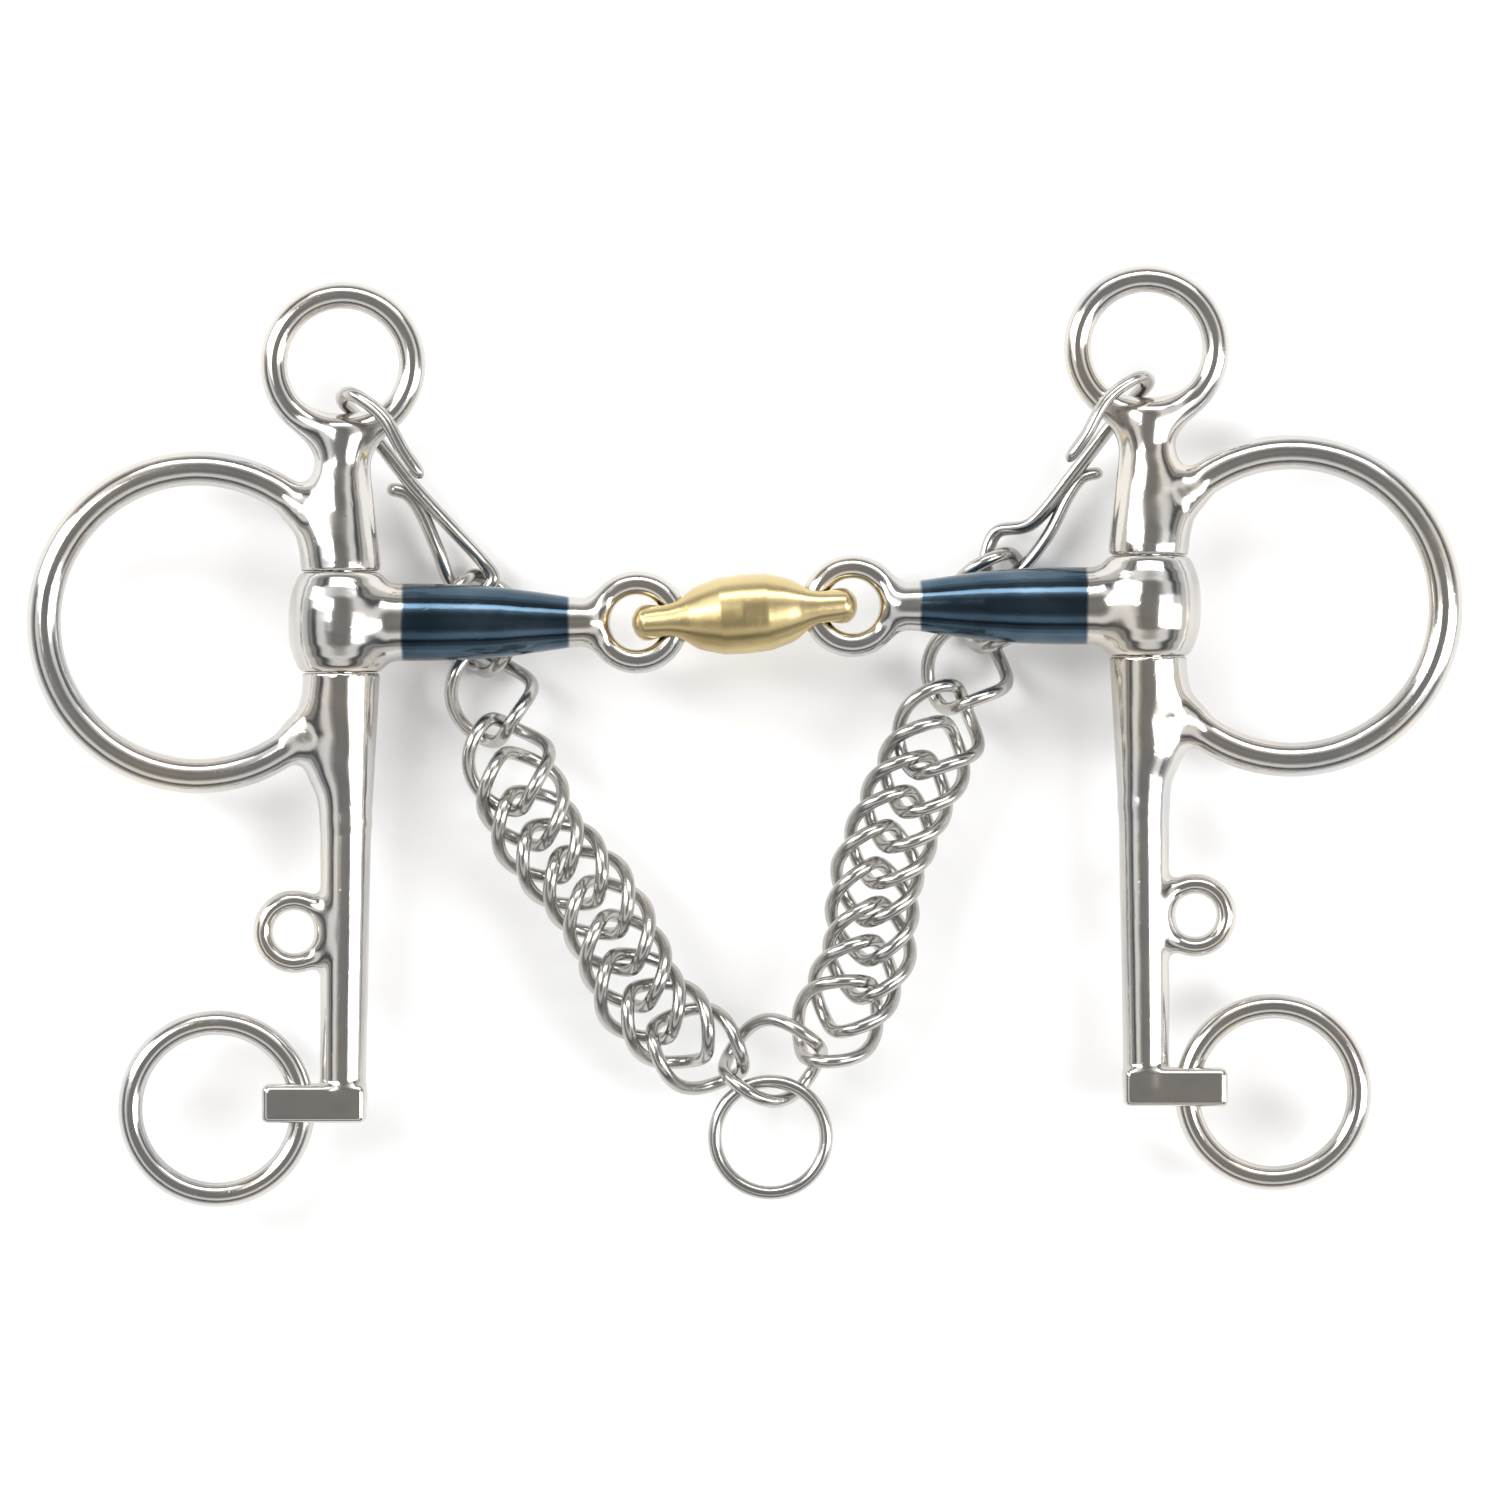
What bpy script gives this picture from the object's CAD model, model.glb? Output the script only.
"""Looks for the curb bit: cast cheeks, blued arms, brass lozenge, chain, light and camera.

Shapes are worked out in millimetres and placed in the frame's metres.
"""
import math
import bpy
import numpy as np
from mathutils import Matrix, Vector


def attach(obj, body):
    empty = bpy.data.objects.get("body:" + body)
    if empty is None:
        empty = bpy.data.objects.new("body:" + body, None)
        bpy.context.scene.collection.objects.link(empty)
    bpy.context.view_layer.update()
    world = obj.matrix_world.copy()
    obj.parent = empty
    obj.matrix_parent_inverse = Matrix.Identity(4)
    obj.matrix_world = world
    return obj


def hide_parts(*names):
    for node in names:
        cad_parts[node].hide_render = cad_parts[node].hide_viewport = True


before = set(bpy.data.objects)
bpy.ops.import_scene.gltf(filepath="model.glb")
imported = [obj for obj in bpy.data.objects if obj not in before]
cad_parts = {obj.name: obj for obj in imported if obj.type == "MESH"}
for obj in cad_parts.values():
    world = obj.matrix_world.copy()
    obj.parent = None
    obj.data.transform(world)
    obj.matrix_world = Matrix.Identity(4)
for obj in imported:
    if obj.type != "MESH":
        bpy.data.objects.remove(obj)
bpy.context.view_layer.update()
MM = 0.001
LEFT, RIGHT = -1, 1

# Where things are, in millimetres
MID_Z = 15.0
MOUTH = np.array([-0.3, 21.2, MID_Z])
SIDE_STEP = 1.4
SPINDLE_X = 68.95
SEAM_Y = 8.7
BORE_R = 3.28


def side_origin(side):
    return MOUTH + [side * SPINDLE_X, side * SIDE_STEP, 0]


# ---- Solids from distance functions ----

def smooth_min(a, b, blend):
    """The union of two distances with a fillet about as wide as blend."""
    h = np.maximum(blend - np.abs(a - b), 0) / blend
    return np.minimum(a, b) - h * h * blend / 4


def smooth_max(a, b, blend):
    """The part two distances share, with a rounded edge about as wide as blend."""
    return -smooth_min(-a, -b, blend)


def cone(x, y, z, a, b, ra, rb):
    """Distance to a rounded bar from a to b whose radius runs from ra to rb."""
    ax, ay, az = a
    d = np.array(b, float) - np.array(a, float)
    t = np.clip(((x - ax) * d[0] + (y - ay) * d[1] + (z - az) * d[2]) / (d @ d), 0, 1)
    off = np.sqrt(
        (x - ax - t * d[0]) ** 2 + (y - ay - t * d[1]) ** 2 + (z - az - t * d[2]) ** 2
    )
    return off - (ra + t * (rb - ra))


def ring(x, y, z, centre, radius, half_width, half_depth):
    """Distance to a flat-lying ring of oval section."""
    out = np.sqrt((x - centre[0]) ** 2 + (y - centre[1]) ** 2) - radius
    scaled = np.sqrt((out / half_width) ** 2 + (z / half_depth) ** 2)
    return (scaled - 1) * min(half_width, half_depth)


def slab(x, y, z, low, high, round_r):
    """Distance to a block with rounded edges."""
    low, high = np.array(low, float), np.array(high, float)
    c, h = (low + high) / 2, (high - low) / 2 - round_r
    qx, qy, qz = np.abs(x - c[0]) - h[0], np.abs(y - c[1]) - h[1], np.abs(z - c[2]) - h[2]
    outside = np.sqrt(np.maximum(qx, 0) ** 2 + np.maximum(qy, 0) ** 2 + np.maximum(qz, 0) ** 2)
    return outside + np.minimum(np.maximum(qx, np.maximum(qy, qz)), 0) - round_r


def grid_surface(solid, low, high, step):
    """Vertices and quads of a solid's skin: one vertex in each grid cell that the skin crosses."""
    axes = [np.arange(low[i], high[i] + step, step) for i in range(3)]
    x, y, z = np.meshgrid(*axes, indexing="ij", sparse=True)
    dist = solid(x, y, z)
    inside = dist < 0
    shape = np.array(dist.shape) - 1
    corners = [(i, j, k) for i in (0, 1) for j in (0, 1) for k in (0, 1)]
    count = np.zeros(shape, np.int8)
    for i, j, k in corners:
        count += inside[i:i + shape[0], j:j + shape[1], k:k + shape[2]]
    cells = np.argwhere((count > 0) & (count < 8))
    total = np.zeros((len(cells), 3))
    hits = np.zeros(len(cells))
    for a in corners:
        for axis in range(3):
            if a[axis]:
                continue
            b = list(a)
            b[axis] = 1
            da = dist[tuple((cells + a).T)]
            db = dist[tuple((cells + b).T)]
            cut = (da < 0) != (db < 0)
            t = np.where(cut, da / np.where(cut, da - db, 1), 0)
            point = np.array(a, float) + t[:, None] * (np.array(b) - np.array(a))
            total += np.where(cut[:, None], point, 0)
            hits += cut
    verts = np.array(low, float) + (cells + total / hits[:, None]) * step
    number = np.full(shape, -1, np.int64)
    number[tuple(cells.T)] = np.arange(len(cells))
    quads = []
    for a in range(3):
        b, c = (a + 1) % 3, (a + 2) % 3
        lower = [slice(None)] * 3
        upper = [slice(None)] * 3
        lower[a], upper[a] = slice(0, -1), slice(1, None)
        starts, ends = inside[tuple(lower)], inside[tuple(upper)]
        for flip, cut in ((False, starts & ~ends), (True, ~starts & ends)):
            p = np.argwhere(cut)
            p = p[(p[:, b] > 0) & (p[:, c] > 0) & (p[:, b] < shape[b]) & (p[:, c] < shape[c])]
            loop = []
            for ob, oc in ((-1, -1), (0, -1), (0, 0), (-1, 0)):
                q = p.copy()
                q[:, b] += ob
                q[:, c] += oc
                loop.append(number[tuple(q.T)])
            quad = np.stack(loop, 1)
            quads.append(quad[:, ::-1] if flip else quad)
    quads = np.concatenate(quads)
    # even out the vertices, then put them back on the true surface
    for _ in range(3):
        near = np.zeros_like(verts)
        seen = np.zeros(len(verts))
        for i in range(4):
            for j in (1, 3):
                np.add.at(near, quads[:, i], verts[quads[:, (i + j) % 4]])
                np.add.at(seen, quads[:, i], 1)
        verts = 0.5 * verts + 0.5 * near / seen[:, None]
        verts = onto_surface(solid, verts, step)
    return verts, quads


def onto_surface(solid, verts, step):
    """The vertices moved along the slope of the distance until they lie on the skin."""
    tiny = 0.02
    for _ in range(2):
        x, y, z = verts.T
        here = solid(x, y, z)
        slope = np.stack([
            solid(x + tiny, y, z) - solid(x - tiny, y, z),
            solid(x, y + tiny, z) - solid(x, y - tiny, z),
            solid(x, y, z + tiny) - solid(x, y, z - tiny),
        ], 1) / (2 * tiny)
        move = -here[:, None] * slope / np.maximum((slope ** 2).sum(1), 0.05)[:, None]
        size = np.sqrt((move ** 2).sum(1))[:, None]
        verts = verts + move * np.minimum(1, 0.5 * step / np.maximum(size, 1e-9))
    return verts


def make_piece(name, verts, faces, body, material, slot, replaced=()):
    """A smooth mesh, given in millimetres in the frame, that rides on a body."""
    mesh = bpy.data.meshes.new(name)
    mesh.from_pydata([tuple(v) for v in np.asarray(verts) * MM], [], [tuple(f) for f in faces])
    mesh.validate()
    mesh.update()
    mesh.shade_smooth()
    mesh.materials.append(material)
    obj = bpy.data.objects.new(name, mesh)
    bpy.context.scene.collection.objects.link(obj)
    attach(obj, body)
    if replaced:
        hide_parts(*replaced)
    return obj


def placed(verts, quads, side):
    """A left-hand piece drawn about its spindle, put on its side; the right side is mirrored."""
    verts = verts.copy()
    if side == RIGHT:
        verts[:, 0] *= -1
        quads = quads[:, ::-1]
    return verts + side_origin(side), quads


# ---- Materials ----

def new_material(name):
    mat = bpy.data.materials.new(name)
    mat.use_nodes = True
    return mat, mat.node_tree.nodes, mat.node_tree.links


def noise(nodes, links, coords, scale, detail, stretch=(1, 1, 1)):
    """Procedural noise in the object's own space, drawn out along an axis by stretch."""
    mapping = nodes.new("ShaderNodeMapping")
    mapping.inputs["Scale"].default_value = stretch
    links.new(coords, mapping.inputs["Vector"])
    tex = nodes.new("ShaderNodeTexNoise")
    tex.inputs["Scale"].default_value = scale
    tex.inputs["Detail"].default_value = detail
    links.new(mapping.outputs["Vector"], tex.inputs["Vector"])
    return tex.outputs["Fac"]


def ramp(nodes, links, value, stops):
    """A colour for each value, from (place, colour) stops."""
    node = nodes.new("ShaderNodeValToRGB")
    while len(node.color_ramp.elements) > 1:
        node.color_ramp.elements.remove(node.color_ramp.elements[-1])
    first = True
    for place, colour in stops:
        item = node.color_ramp.elements[0] if first else node.color_ramp.elements.new(place)
        item.position = place
        item.color = (*colour, 1)
        first = False
    links.new(value, node.inputs["Fac"])
    return node.outputs["Color"]


def remap(nodes, links, value, low, high, from_low=0.0, from_high=1.0):
    """A value carried from one range to another."""
    node = nodes.new("ShaderNodeMapRange")
    node.inputs["From Min"].default_value = from_low
    node.inputs["From Max"].default_value = from_high
    node.inputs["To Min"].default_value = low
    node.inputs["To Max"].default_value = high
    links.new(value, node.inputs["Value"])
    return node.outputs["Result"]


def polished_metal(name, stops, rough, pits=0.25, brush=0.12, wave=0.35, rough_spread=0.08):
    """Polished metal: tinted in patches, finely brushed, faintly wavy, with small casting pits."""
    mat, nodes, links = new_material(name)
    shader = nodes["Principled BSDF"]
    shader.inputs["Metallic"].default_value = 1.0
    coords = nodes.new("ShaderNodeTexCoord").outputs["Object"]
    patches = noise(nodes, links, coords, 55, 4)
    links.new(ramp(nodes, links, patches, stops), shader.inputs["Base Color"])
    smears = noise(nodes, links, coords, 140, 5)
    links.new(remap(nodes, links, smears, rough - rough_spread / 2, rough + rough_spread),
              shader.inputs["Roughness"])
    height = None
    layers = (
        (noise(nodes, links, coords, 160, 2), wave, 0.00022),
        (noise(nodes, links, coords, 900, 2, (1, 0.12, 1)), brush, 0.00004),
        (remap(nodes, links, noise(nodes, links, coords, 1300, 1), 0, 1, 0.0, 0.36), pits, 0.00008),
    )
    for value, strength, distance in layers:
        bump = nodes.new("ShaderNodeBump")
        bump.inputs["Strength"].default_value = strength
        bump.inputs["Distance"].default_value = distance
        links.new(value, bump.inputs["Height"])
        if height is not None:
            links.new(height, bump.inputs["Normal"])
        height = bump.outputs["Normal"]
    links.new(height, shader.inputs["Normal"])
    return mat


STEEL_STOPS = ((0.3, (0.54, 0.54, 0.54)), (0.5, (0.61, 0.59, 0.56)), (0.68, (0.66, 0.61, 0.54)))
CHAIN_STOPS = ((0.3, (0.40, 0.39, 0.38)), (0.5, (0.47, 0.46, 0.44)), (0.7, (0.54, 0.52, 0.49)))
BRASS_STOPS = ((0.3, (0.42, 0.31, 0.15)), (0.48, (0.58, 0.46, 0.23)), (0.7, (0.67, 0.55, 0.31)))

steel = polished_metal("polished_steel", STEEL_STOPS, 0.13)
chain_steel = polished_metal("chain_steel", CHAIN_STOPS, 0.2, pits=0.4, brush=0.3)
brass = polished_metal("yellow_brass", BRASS_STOPS, 0.27, pits=0.3, brush=0.3)

BLUE_START, BLUE_END = 10.6, 39.0
BLUE_EDGE = 0.25


def blued_metal(name, side):
    """The arm's steel, blued between its barrel and its eye; the bounds are sharp, along X."""
    mat = polished_metal(name, STEEL_STOPS, 0.13)
    nodes, links = mat.node_tree.nodes, mat.node_tree.links
    shader = nodes["Principled BSDF"]
    plain = shader.inputs["Base Color"].links[0].from_socket
    coords = nodes.new("ShaderNodeTexCoord").outputs["Object"]
    split = nodes.new("ShaderNodeSeparateXYZ")
    links.new(coords, split.inputs["Vector"])
    spindle = side_origin(side)[0] * MM
    inboard = remap(nodes, links, split.outputs["X"], 0, 1, spindle, spindle - side * 0.05)
    wobble = noise(nodes, links, coords, 220, 2)
    wander = remap(nodes, links, wobble, -0.006, 0.006)
    add = nodes.new("ShaderNodeMath")
    add.operation = "ADD"
    links.new(inboard, add.inputs[0])
    links.new(wander, add.inputs[1])
    edge = BLUE_EDGE / 50
    start, end = BLUE_START / 50, BLUE_END / 50
    band = ramp(nodes, links, add.outputs[0], (
        (start - edge, (0, 0, 0)), (start + edge, (1, 1, 1)),
        (end - edge, (1, 1, 1)), (end + edge, (0, 0, 0))))
    tone = ramp(nodes, links, noise(nodes, links, coords, 70, 4), (
        (0.3, (0.035, 0.062, 0.09)), (0.5, (0.06, 0.1, 0.14)), (0.7, (0.1, 0.15, 0.2))))
    mix = nodes.new("ShaderNodeMix")
    mix.data_type = "RGBA"
    links.new(band, mix.inputs["Factor"])
    links.new(plain, mix.inputs[6])
    links.new(tone, mix.inputs[7])
    links.new(mix.outputs[2], shader.inputs["Base Color"])
    return mat


# ---- Cheeks ----

EYE = (0.4, 44.0)
EYE_R = 11.8
REIN = (-24.4, 0.0)
REIN_R = 26.25
REIN_OPEN = math.radians(47)
LIP = (-7.9, -52.8)
FOOT_Y = -85.5
STEM_Y = np.array([8.0, 10.5, 13.0, 17.0, 23.0, 28.0, 33.0, 40.0])
STEM_R = np.array([6.6, 6.55, 6.25, 5.6, 4.55, 4.1, 3.7, 3.0])


def rein_ring(x, y, z):
    """The large ring, left out beside the barrel, ending in two rounded tips."""
    dx, dy = x - REIN[0], y - REIN[1]
    whole = ring(x, y, z, REIN, REIN_R, 2.95, 2.75)
    tip = np.array([REIN[0] + REIN_R * math.cos(REIN_OPEN), REIN_R * math.sin(REIN_OPEN)])
    ends = np.sqrt((x - tip[0]) ** 2 + (np.abs(y) - tip[1]) ** 2 + z * z) - 2.85
    gap = np.abs(np.arctan2(dy, dx)) < REIN_OPEN
    return np.where(gap, ends, whole)


def cheek_solid(x, y, z):
    """Distance to a left cheek's skin, about its spindle."""
    stem = (np.sqrt(x ** 2 + z * z) - np.interp(y, STEM_Y, STEM_R)) * 0.97
    stem = smooth_max(stem, y - 34, 2.0)
    # a ridge runs down the stem's inboard side
    ridge = cone(x, y, z, (5.1, 10, 0), (3.4, 31, 0), 1.55, 1.2)
    stem = smooth_min(stem, ridge, 0.8)
    eye = ring(x, y, z, EYE, EYE_R, 2.35, 2.25)
    body = smooth_min(stem, eye, 5.0)
    upper = np.minimum(
        cone(x, y, z, (-6.5, 19.2, 0), (-2.2, 13.5, 0), 2.9, 3.6),
        cone(x, y, z, (-6.5, 19.2, 0), (-1.6, 22.5, 0), 2.8, 2.8),
    )
    body = smooth_min(body, upper, 4.0)
    body = np.maximum(body, SEAM_Y - y)
    shank = smooth_min(
        cone(x, y, z, (0, -7, 0), (0.9, -34, 0), 6.7, 4.35),
        cone(x, y, z, (0.9, -34, 0), (0.4, -81.5, 0), 4.35, 3.9),
        0.6,
    )
    low_edge = cone(x, y, z, (5.0, -8, 0), (4.1, -31, 0), 1.5, 0.9)
    shank = smooth_min(shank, low_edge, 0.8)
    lower = cone(x, y, z, (-6.5, -19.2, 0), (-2.2, -24.5, 0), 2.9, 3.0)
    lower = np.minimum(lower, cone(x, y, z, (-6.5, -19.2, 0), (-2.2, -14.5, 0), 2.8, 3.4))
    shank = smooth_min(shank, lower, 4.0)
    lip = ring(x, y, z, LIP, 5.35, 1.7, 2.15)
    shank = smooth_min(shank, lip, 2.4)
    foot = slab(x, y, z, (-13.3, FOOT_Y, -4.0), (4.3, FOOT_Y + 6.7, 4.0), 1.1)
    shank = smooth_min(shank, foot, 0.9)
    shank = smooth_max(shank, FOOT_Y - y, 0.8)
    shank = np.maximum(shank, y + SEAM_Y)
    body = np.minimum(body, shank)
    body = smooth_min(body, rein_ring(x, y, z), 2.4)
    # beyond the seams nothing fills the barrel's gap
    body = np.maximum(body, -np.maximum(np.abs(y) - SEAM_Y, np.abs(x) - 10.5))
    foot_hole = np.sqrt((x + 6.8) ** 2 + z * z) - 2.75
    foot_hole = np.maximum(foot_hole, y + 76)
    body = smooth_max(body, -foot_hole, 0.5)
    return body


# ---- Arms ----

BARREL_Y = np.array([0, 2.0, 4.0, 6.0, 7.6, 8.55])
BARREL_R = np.array([8.86, 8.82, 8.6, 8.05, 7.35, 6.7])
ARM_X = np.array([0, 12, 16, 22, 28, 34, 39, 43.5, 60])
ARM_R = np.array([6.6, 6.6, 6.58, 6.4, 5.95, 5.1, 4.35, 3.95, 3.9])
ARM_EYE_X, ARM_EYE_R, ARM_EYE_WIRE = 50.6, 6.575, 2.175


def arm_solid(x, y, z):
    """Distance to a left arm's skin, about its spindle."""
    barrel = (np.sqrt(x * x + z * z) - np.interp(np.abs(y), BARREL_Y, BARREL_R)) * 0.95
    barrel = smooth_max(barrel, np.abs(y) - 8.55, 0.7)
    arm = (np.sqrt(y * y + z * z) - np.interp(x, ARM_X, ARM_R)) * 0.97
    arm = smooth_max(smooth_max(arm, x - 45.0, 3.0), -x, 0.5)
    body = smooth_min(barrel, arm, 2.2)
    body = np.maximum(body, np.abs(y) - 8.55)
    eye = ring(x, y, z, (ARM_EYE_X, 0), ARM_EYE_R, ARM_EYE_WIRE, ARM_EYE_WIRE)
    body = smooth_min(body, eye, 2.2)
    hole = np.sqrt((x - ARM_EYE_X) ** 2 + y * y) - (ARM_EYE_R - ARM_EYE_WIRE)
    body = smooth_max(body, -hole, 1.0)
    return np.maximum(body, BORE_R - np.sqrt(x * x + z * z))


# ---- Lozenge ----

LOZ_SLANT = math.radians(5)
LOZ_X = np.array([0, 4, 7.5, 9.5, 11, 13, 17.5, 19.0])
LOZ_WIDE = np.array([6.8, 6.6, 5.6, 4.8, 4.1, 3.5, 3.0, 2.4])
LOZ_DEEP = np.array([6.8, 6.5, 5.85, 5.45, 5.25, 5.0, 4.35, 3.7])


def lozenge_solid(x, y, z):
    """Distance to the lozenge's skin, about its middle, before it is turned."""
    ax = np.abs(x)
    wide = np.interp(ax, LOZ_X, LOZ_WIDE)
    deep = np.interp(ax, LOZ_X, LOZ_DEEP)
    scaled = (np.abs(y / wide) ** 2.3 + np.abs(z / deep) ** 2.3) ** (1 / 2.3)
    body = (scaled - 1) * wide * 0.9
    body = smooth_max(body, ax - 19.3, 2.2)
    slot_x = np.maximum(np.abs(ax - 12.45) - 0.45, 0)
    hole = np.sqrt(slot_x ** 2 + z * z) - 2.7
    return smooth_max(body, -hole, 1.2)


# ---- Wires ----

def sweep(path, half_wide, half_deep, sides, closed, up=None):
    """A wire of oval section along a path; up sets the section's deep direction, or it rides free."""
    path = np.asarray(path, float)
    n = len(path)
    if closed:
        along = np.roll(path, -1, 0) - np.roll(path, 1, 0)
    else:
        along = np.gradient(path, axis=0)
    along /= np.linalg.norm(along, axis=1)[:, None]
    if up is None:
        deep = np.zeros_like(path)
        d = np.cross(along[0], [0.3, 0.2, 1.0])
        for i in range(n):
            d = d - (d @ along[i]) * along[i]
            d /= np.linalg.norm(d)
            deep[i] = d
    else:
        deep = np.asarray(up, float) - (np.asarray(up, float) * along).sum(1)[:, None] * along
        deep /= np.linalg.norm(deep, axis=1)[:, None]
    wide = np.cross(along, deep)
    w = np.linspace(0, 2 * np.pi, sides, endpoint=False)
    half_wide = np.broadcast_to(half_wide, n)
    half_deep = np.broadcast_to(half_deep, n)
    rings = path[:, None, :] + (
        (half_wide[:, None] * np.cos(w)[None])[:, :, None] * wide[:, None, :]
        + (half_deep[:, None] * np.sin(w)[None])[:, :, None] * deep[:, None, :]
    )
    verts = rings.reshape(-1, 3)
    faces = []
    for i in range(n if closed else n - 1):
        a, b = i * sides, ((i + 1) % n) * sides
        for s in range(sides):
            t = (s + 1) % sides
            faces.append((a + s, a + t, b + t, b + s))
    if not closed:
        faces.append(tuple(range(sides))[::-1])
        faces.append(tuple((n - 1) * sides + s for s in range(sides)))
    return verts, faces


def smooth_curve(points, steps):
    """A curve through the points: Catmull and Rom's cubic."""
    p = [np.array(q, float) for q in points]
    last = len(p) - 1
    out = []
    for i in range(last):
        a, b, c, d = p[max(i - 1, 0)], p[i], p[i + 1], p[min(i + 2, last)]
        for f in np.linspace(0, 1, steps, endpoint=False):
            out.append(0.5 * (2 * b + (c - a) * f + (2 * a - 5 * b + 4 * c - d) * f * f
                              + (3 * b - a - 3 * c + d) * f ** 3))
    out.append(p[last])
    return np.array(out)


def rounded_ends(n, radius, taper):
    """Radii along an open wire that close to round ends over the last few points."""
    i = np.minimum(np.arange(n), np.arange(n)[::-1])
    t = np.clip(1 - i / taper, 0, 1)
    return radius * np.sqrt(np.maximum(1 - t * t, 0.02))


# ---- Build ----

cheek_mesh = grid_surface(cheek_solid, (-55, -87.5, -8.2), (15.5, 60.5, 8.2), 0.42)
arm_mesh = grid_surface(arm_solid, (-10.2, -9.8, -10), (61, 9.8, 10), 0.36)
blued = {LEFT: blued_metal("blued_steel_left", LEFT), RIGHT: blued_metal("blued_steel_right", RIGHT)}
for side, word in ((LEFT, "left"), (RIGHT, "right")):
    make_piece(word + "_cast_cheek", *placed(*cheek_mesh, side), word + "_cheek",
               steel, "polished_steel", (word + "_cheek",))
    make_piece(word + "_mouth_arm", *placed(*arm_mesh, side), word + "_arm",
               blued[side], "blued_steel", (word + "_arm",))
    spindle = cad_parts[word + "_spindle"]
    spindle.data.materials.clear()
    spindle.data.materials.append(steel)

loz_verts, loz_quads = grid_surface(lozenge_solid, (-21, -8, -8), (21, 8, 8), 0.3)
turn = np.array([
    [math.cos(LOZ_SLANT), -math.sin(LOZ_SLANT), 0],
    [math.sin(LOZ_SLANT), math.cos(LOZ_SLANT), 0],
    [0, 0, 1],
])
make_piece("brass_lozenge", loz_verts @ turn.T + MOUTH, loz_quads, "lozenge",
           brass, "yellow_brass", ("lozenge",))


def round_ring(name, centre, radius, wire, body, material, slot, node, weld_at):
    """A ring bent from rod, with the slightly fuller place where its ends were welded."""
    t = np.linspace(0, 2 * np.pi, 144, endpoint=False)
    path = np.stack([radius * np.cos(t), radius * np.sin(t), 0 * t], 1) + centre
    off = np.abs((t - weld_at + np.pi) % (2 * np.pi) - np.pi)
    fuller = wire * (1 + 0.035 * np.exp(-(off / 0.06) ** 2) - 0.02 * np.exp(-(off / 0.02) ** 2))
    up = np.tile([0.0, 0.0, 1.0], (len(t), 1))
    verts, faces = sweep(path, fuller, fuller, 28, True, up)
    make_piece(name, verts, faces, body, material, slot, (node,))


CURB_X, CURB_Y, CURB_R, CURB_WIRE = -21.2, -83.0, 14.7, 2.1
for side, word in ((LEFT, "left"), (RIGHT, "right")):
    centre = side_origin(side) + [-side * CURB_X, CURB_Y, 0]
    weld = math.radians(85 if side == LEFT else 100)
    round_ring(word + "_loose_curb_ring", centre, CURB_R, CURB_WIRE, word + "_curb_ring",
               steel, "polished_steel", word + "_curb_ring", weld)

# The curb chain
LINKS, BOTTOM = 24, 12
PITCH = 6.6
TURNS = [0, 6, 5, 2, 18, 3, -12, -7, -2, 24, 3, 32, 40, 33, 3, 19, -4, -13, -3, -3, 2, 0, 3, 6]
CHAIN_START, CHAIN_HEADING = np.array([-45.3, -1.4]), -80.7
LINK_A, LINK_B, LINK_WIRE, LINK_TWIST = 8.4, 7.0, 1.15, math.radians(60)
FLY_R, FLY_OFFSET = 9.5, np.array([-0.4, -13.1, 0.6])


def step_at(k):
    if k in (0, LINKS - 2):
        return 12.4
    if k in (1, LINKS - 3):
        return 12.2
    return 13.0 if k in (BOTTOM - 1, BOTTOM) else PITCH


def link_height(k):
    if k in (0, LINKS - 1):
        return 4.5
    return 7.9 if k in (1, LINKS - 2) else MID_Z


heading = CHAIN_HEADING + np.cumsum(TURNS)
place = [CHAIN_START]
for k in range(1, LINKS):
    h = math.radians(heading[k - 1])
    place.append(place[-1] + step_at(k - 1) * np.array([math.cos(h), math.sin(h)]))
w = np.linspace(0, 2 * np.pi, 96, endpoint=False)
reach, wind = LINK_B * np.sin(w), LINK_TWIST * np.cos(w)
link_path = np.stack([LINK_A * np.cos(w), reach * np.cos(wind), reach * np.sin(wind)], 1)
link_verts, link_faces = sweep(link_path, LINK_WIRE, LINK_WIRE, 16, True, link_path)
for k in range(LINKS):
    before, after = max(k - 1, 0), min(k + 1, LINKS - 1)
    rise = link_height(after) - link_height(before)
    run = step_at(before) + (step_at(after - 1) if after > before + 1 else 0)
    tilt = 0 if k in (0, LINKS - 1) else math.atan2(rise, run)
    yaw = math.radians((heading[k] + heading[before]) / 2)
    cz, sz, ct, st = math.cos(yaw), math.sin(yaw), math.cos(tilt), math.sin(tilt)
    spin = np.array([[cz, -sz, 0], [sz, cz, 0], [0, 0, 1]]) @ np.array(
        [[ct, 0, -st], [0, 1, 0], [st, 0, ct]])
    at = np.array([place[k][0] + MOUTH[0], place[k][1] + MOUTH[1], link_height(k)])
    node = "link_%02d" % (k + 1)
    make_piece("chain_" + node, link_verts @ spin.T + at, link_faces, node,
               chain_steel, "chain_steel", (node,))
    if k == BOTTOM:
        round_ring("fly_link_ring", at + FLY_OFFSET, FLY_R, LINK_WIRE, "fly_link",
                   chain_steel, "chain_steel", "fly_link", math.radians(200))

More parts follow.
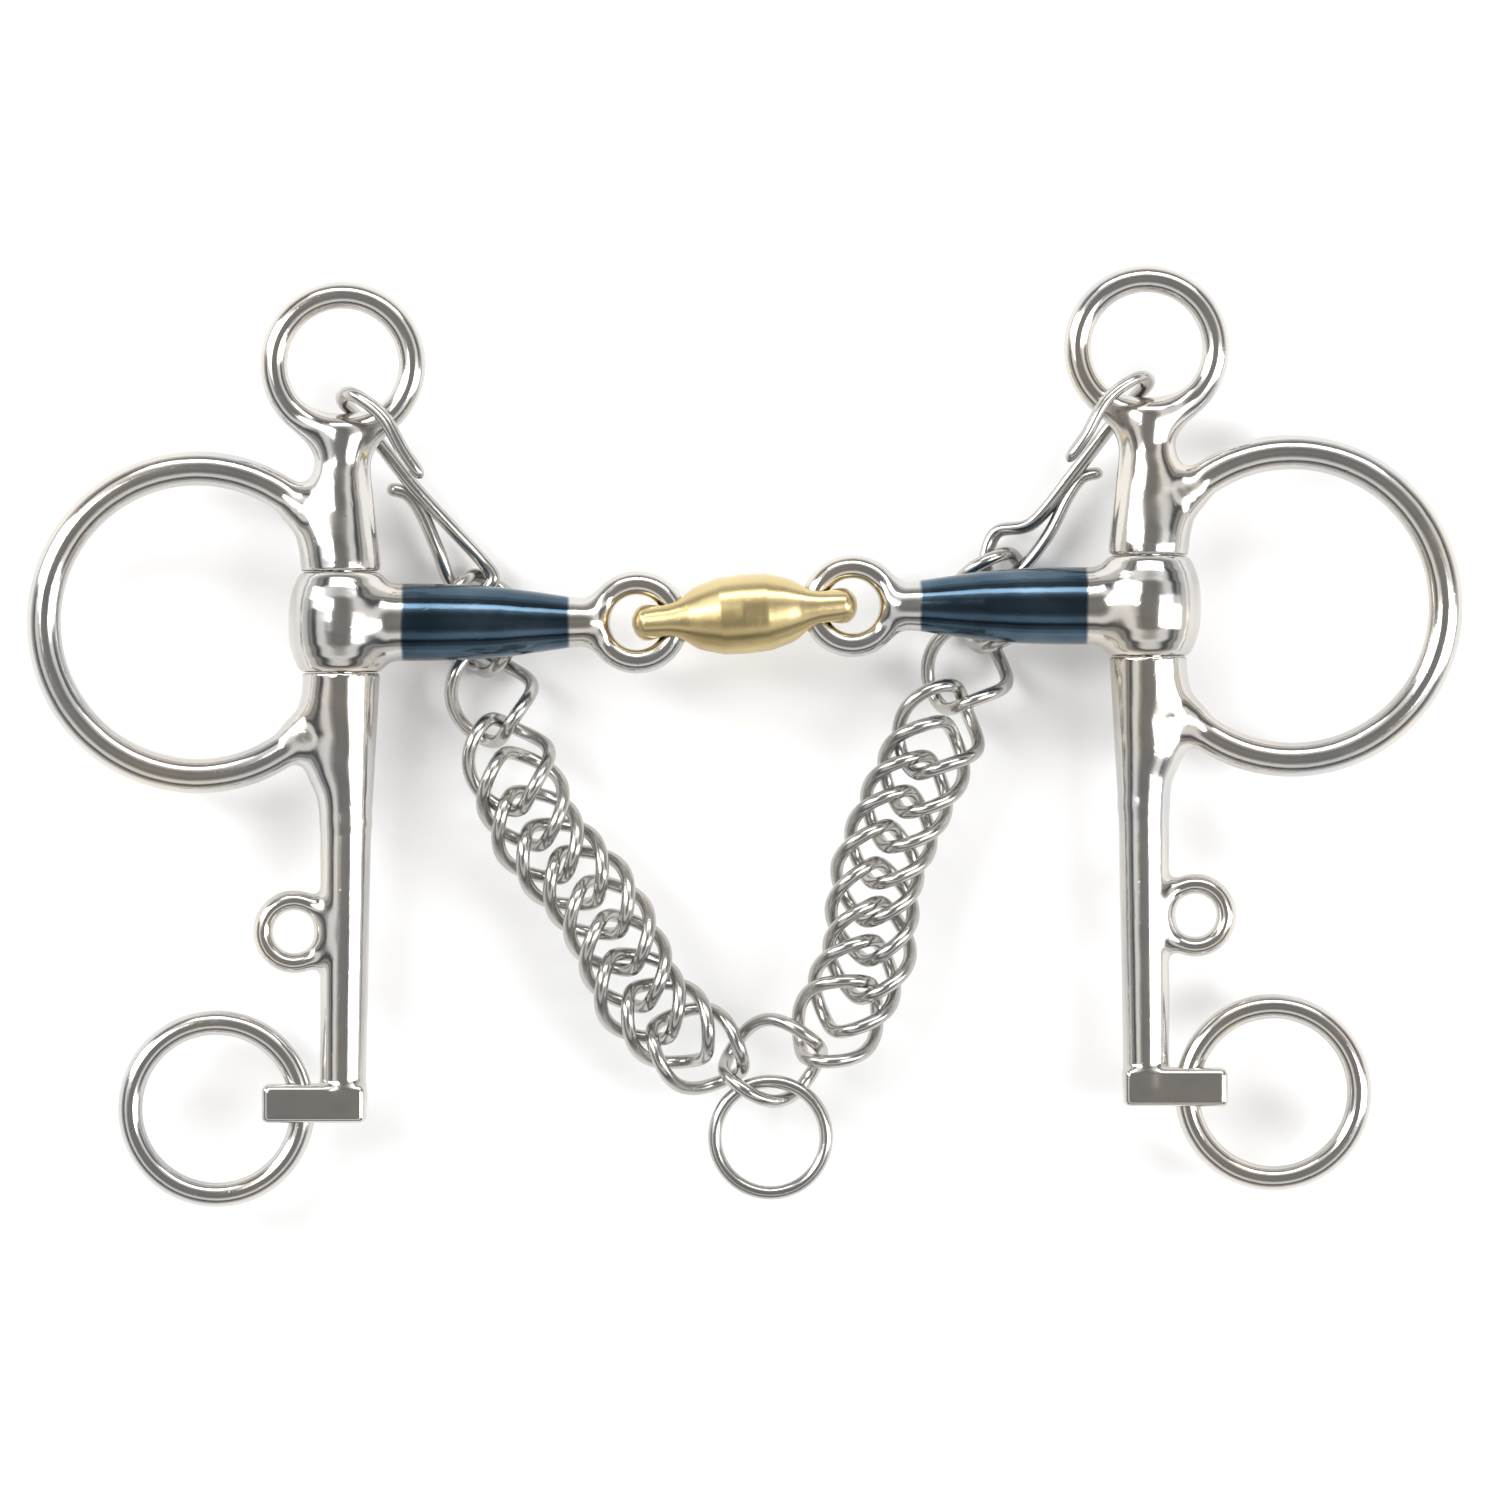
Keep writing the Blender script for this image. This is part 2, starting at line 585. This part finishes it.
# The curb hooks: the left of round stock, the right of flattened stock
LEFT_HOOK = [
    (-54.8, 23.0, 6.8), (-58.0, 27.5, 7.4), (-61.5, 33.5, 7.2), (-66.5, 37.2, 5.6),
    (-68.6, 36.6, 0.5), (-65.8, 33.2, -4.6), (-62.0, 28.6, -6.0), (-56.8, 22.0, -6.6),
    (-50.2, 14.8, -8.4), (-45.2, 9.4, -10.3), (-43.2, 6.2, -10.5), (-45.8, 3.8, -10.5),
    (-50.2, 5.4, -10.4), (-52.6, 11.0, -8.6), (-55.4, 17.4, -8.0), (-58.0, 20.8, -7.8),
    (-61.4, 21.6, -7.8),
]
RIGHT_BEND = [
    (56.9, 24.8, -6.7), (49.6, 15.9, -9.2), (43.3, 14.2, -11.4), (41.4, 8.7, -11.5),
    (43.1, 6.4, -11.0), (47.5, 8.0, -10.0), (52.2, 13.9, -8.6), (55.4, 20.2, -8.0),
]
BEND_START = 7
right_points = [(-x, y + 2 * SIDE_STEP, z) for x, y, z in LEFT_HOOK]
right_points[BEND_START:BEND_START + len(RIGHT_BEND)] = RIGHT_BEND
for word, points, wide, deep in (("left", LEFT_HOOK, 1.2, 1.2), ("right", right_points, 1.4, 1.05)):
    path = smooth_curve(points, 10) + MOUTH
    n = len(path)
    verts, faces = sweep(path, rounded_ends(n, wide, 5), rounded_ends(n, deep, 5), 20, False)
    make_piece(word + "_curb_hook", verts, faces, word + "_hook",
               chain_steel, "chain_steel", (word + "_hook",))

# ---- Floor, light and camera ----

floor_mesh = bpy.data.meshes.new("floor")
F = 3.0  # half the floor's width, in metres
floor_mesh.from_pydata([(-F, -F, -0.0002), (F, -F, -0.0002), (F, F, -0.0002), (-F, F, -0.0002)],
                       [], [(0, 1, 2, 3)])
floor = bpy.data.objects.new("floor", floor_mesh)
bpy.context.scene.collection.objects.link(floor)
paper, paper_nodes, paper_links = new_material("white_floor")
paper_shader = paper_nodes["Principled BSDF"]
paper_shader.inputs["Base Color"].default_value = (0.93, 0.93, 0.93, 1)
paper_shader.inputs["Roughness"].default_value = 0.9
paper_shader.inputs["Specular IOR Level"].default_value = 0.1
floor_mesh.materials.append(paper)

world = bpy.data.worlds.new("studio")
bpy.context.scene.world = world
world.use_nodes = True
wn, wl = world.node_tree.nodes, world.node_tree.links
sky = wn["Background"]
direction = wn.new("ShaderNodeTexCoord").outputs["Generated"]
parts = wn.new("ShaderNodeSeparateXYZ")
wl.new(direction, parts.inputs["Vector"])
bands = ramp(wn, wl, parts.outputs["Z"], (
    (0.0, (0.9, 0.88, 0.85)), (0.2, (0.78, 0.77, 0.76)), (0.29, (0.12, 0.125, 0.13)),
    (0.38, (0.5, 0.49, 0.47)), (0.45, (0.08, 0.085, 0.09)), (0.57, (0.07, 0.075, 0.08)),
    (0.65, (0.97, 0.97, 0.99)), (0.8, (1.0, 0.99, 0.97)), (0.87, (0.4, 0.385, 0.36)),
    (0.94, (0.22, 0.215, 0.21)), (1.0, (0.28, 0.275, 0.27))))
wl.new(bands, sky.inputs["Color"])
sky.inputs["Strength"].default_value = 1.0


def soft_box(name, at, size, power, towards=(0, 0, 0.015)):
    """A rectangular area light that faces a point."""
    data = bpy.data.lights.new(name, "AREA")
    data.shape = "RECTANGLE"
    data.size, data.size_y = size
    data.energy = power
    obj = bpy.data.objects.new(name, data)
    obj.location = at
    obj.rotation_euler = (Vector(towards) - Vector(at)).to_track_quat("-Z", "Y").to_euler()
    bpy.context.scene.collection.objects.link(obj)


soft_box("key_left", (-0.75, 0.35, 0.75), (0.35, 1.1), 9)
soft_box("key_right", (0.8, -0.1, 0.7), (0.3, 1.0), 7)
soft_box("fill_top", (0.1, 0.9, 0.8), (1.2, 0.3), 6)

camera_data = bpy.data.cameras.new("camera")
camera_data.lens = 211
camera_data.sensor_width = 36
camera_data.clip_end = 20
camera = bpy.data.objects.new("camera", camera_data)
camera.location = (0.0006, -0.0020, 1.5 + MID_Z * MM)
bpy.context.scene.collection.objects.link(camera)
bpy.context.scene.camera = camera
bpy.context.scene.view_settings.view_transform = "Standard"
